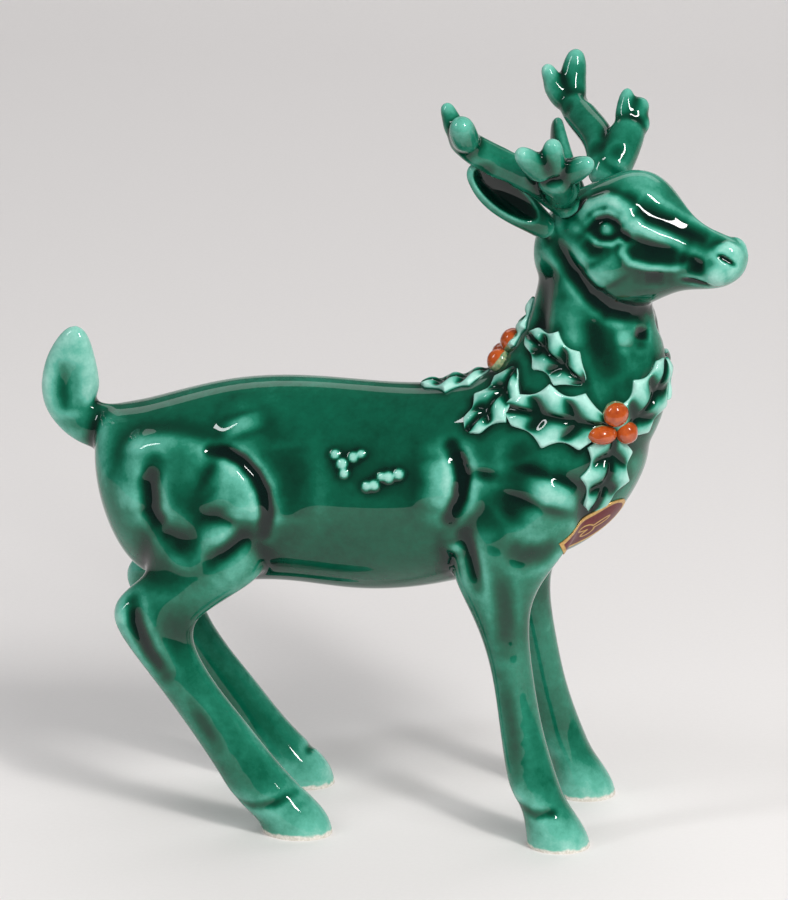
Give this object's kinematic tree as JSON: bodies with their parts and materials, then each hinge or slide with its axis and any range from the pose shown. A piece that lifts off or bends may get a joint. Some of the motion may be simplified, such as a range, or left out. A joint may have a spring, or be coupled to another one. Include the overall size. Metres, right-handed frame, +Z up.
{
  "type": "ceramic deer figurine",
  "caption": "Standing young deer in glossy green glazed earthenware, with antlers and a holly collar with orange berries.",
  "frame": {"origin": "on the ground, under the middle of the whole figure's bounding box", "axes": "+X forwards, towards the nose; +Y to the deer's left; +Z up"},
  "size_m": [0.1738, 0.071, 0.1838],
  "materials": {
    "glaze": "glossy",
    "leaves": "glossy",
    "berries": "glossy",
    "foil": "satin"
  },
  "bodies": {
    "root": {"antler_left": "glaze", "antler_right": "glaze", "berry_left_1": "berries", "berry_left_2": "berries", "berry_left_3": "berries", "berry_nape_1": "berries", "berry_nape_2": "berries", "berry_nape_3": "berries", "berry_right_1": "berries", "berry_right_2": "berries", "berry_right_3": "berries", "ear_left": "glaze", "ear_right": "glaze", "foil_label": "foil", "foreleg_left": "glaze", "foreleg_right": "glaze", "head_neck": "glaze", "hindleg_left": "glaze", "hindleg_right": "glaze", "leaf_left_front": "leaves", "leaf_left_lower": "leaves", "leaf_left_rear": "leaves", "leaf_left_upper": "leaves", "leaf_nape_left": "leaves", "leaf_nape_lower": "leaves", "leaf_nape_right": "leaves", "leaf_nape_upper": "leaves", "leaf_right_front": "leaves", "leaf_right_lower": "leaves", "leaf_right_rear": "leaves", "leaf_right_upper": "leaves", "tail": "glaze", "torso": "glaze"}
  },
  "joints": []
}
